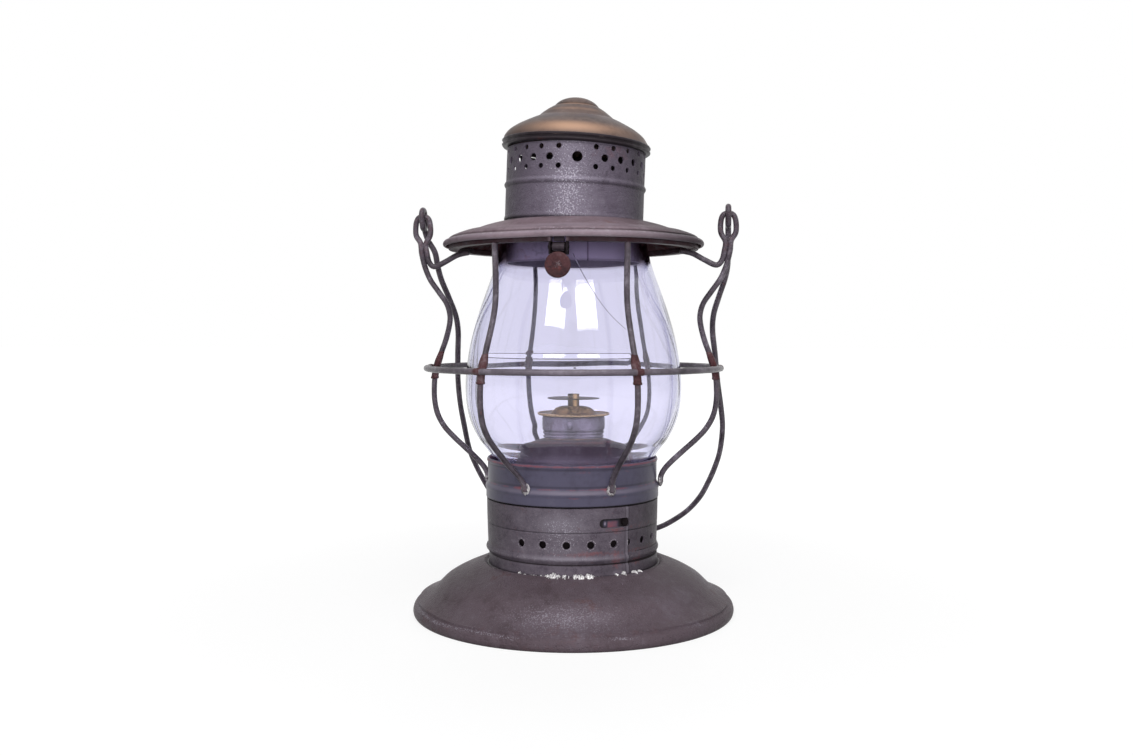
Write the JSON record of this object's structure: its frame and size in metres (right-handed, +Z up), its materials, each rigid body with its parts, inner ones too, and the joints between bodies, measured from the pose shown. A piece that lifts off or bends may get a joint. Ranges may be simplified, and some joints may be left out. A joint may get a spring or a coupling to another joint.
{
  "type": "railroad lantern",
  "caption": "Railroad signal lantern with a bell base, wire guard, tall glass globe, hinged vented lid, thumb latch, wick burner and swinging wire bail.",
  "frame": {"origin": "on the lantern's upright axis, at the level of the surface it stands on", "axes": "+Z up, +X to the right of the front, -Y out of the front, where the thumb latch is"},
  "size_m": [0.167, 0.1673, 0.261],
  "materials": {
    "base_steel": "dark brown japanned sheet steel, grainy, worn light on the edges",
    "collar_steel": "bare darkened sheet steel with reddish and bluish heat stains",
    "aged_tin": "aged tinned sheet, smooth grey with a violet cast",
    "chimney_steel": "aged tinned sheet, finely pitted, grey-violet",
    "brim_steel": "brownish mauve aged sheet steel, fine speckle",
    "dark_steel": "nearly black oxidised steel",
    "guard_wire": "dark brown steel wire, satin",
    "clip_steel": "rust-red oxidised thin sheet",
    "solder": "bright soft solder",
    "cap_brass": "aged brass, brownish gold with dark speckle",
    "brass": "dull brass",
    "nickel": "worn nickel plate",
    "globe_glass": "clear blown glass with a pale lavender tint",
    "wick_cotton": "woven round cotton wick"
  },
  "bodies": {
    "base": {"bell_base": "base_steel", "base_solder": "solder", "base_collar": "collar_steel", "fount_pot": "aged_tin", "fount_body": "aged_tin", "fount_top": "base_steel", "fount_neck": "brass", "burner_collar": "nickel", "burner_rivet": "nickel", "burner_plate": "brass", "wick_tube": "brass", "flame_disc": "dark_steel"},
    "raiser": {"raiser_shaft": "brass", "raiser_wheel": "brass", "raiser_knob": "brass"},
    "wick": {"wick": "wick_cotton"},
    "frame": {"frame_collar": "aged_tin", "lock_sleeve": "aged_tin", "lock_studs": "aged_tin", "globe_seat": "aged_tin", "globe": "globe_glass", "guard_ring": "guard_wire", "guard_wire_front_left": "guard_wire", "guard_wire_front_right": "guard_wire", "guard_wire_rear_right": "guard_wire", "guard_wire_rear_left": "guard_wire", "side_wire_left": "guard_wire", "side_wire_right": "guard_wire", "ring_clips": "clip_steel", "wire_solder": "solder", "top_band": "aged_tin", "hinge_leaf_frame": "aged_tin", "hinge_pin": "aged_tin", "latch_bracket": "dark_steel", "latch_pin": "aged_tin"},
    "lid": {"lid_brim": "brim_steel", "lid_catch": "dark_steel", "hinge_leaf_lid": "aged_tin", "chimney": "chimney_steel", "cap_rim": "dark_steel", "chimney_cap": "cap_brass", "draft_tube": "aged_tin"},
    "latch": {"latch_lever": "clip_steel", "latch_disc": "clip_steel"},
    "bail": {"bail": "guard_wire"}
  },
  "joints": [
    {"name": "frame_turn", "type": "hinge", "parent": "base", "child": "frame", "pos_m": [0, 0, 0.058], "axis": [0, 0, -1], "range_deg": [0, 15.5]},
    {"name": "lid_hinge", "type": "hinge", "parent": "frame", "child": "lid", "pos_m": [0, 0.0685, 0.1815], "axis": [-1, 0, 0], "range_deg": [0, 110]},
    {"name": "latch_press", "type": "hinge", "parent": "frame", "child": "latch", "pos_m": [0, -0.062, 0.18], "axis": [1, 0, 0], "range_deg": [0, 16], "stiffness_Nm_per_rad": 0.05},
    {"name": "bail_swing", "type": "hinge", "parent": "frame", "child": "bail", "pos_m": [0, 0, 0.201], "axis": [1, 0, 0], "range_deg": [0, 309]},
    {"name": "raiser_turn", "type": "hinge", "parent": "base", "child": "raiser", "pos_m": [-0.0045, 0, 0.0952], "axis": [0, 1, 0], "range_deg": [-140, 220]},
    {"name": "wick_slide", "type": "slide", "parent": "base", "child": "wick", "axis": [0, 0, 1], "range_m": [-0.008, 0.005]}
  ],
  "couplings": [
    {"joint": "raiser_turn", "follows": "wick_slide", "rad_per_m": -465.12}
  ]
}
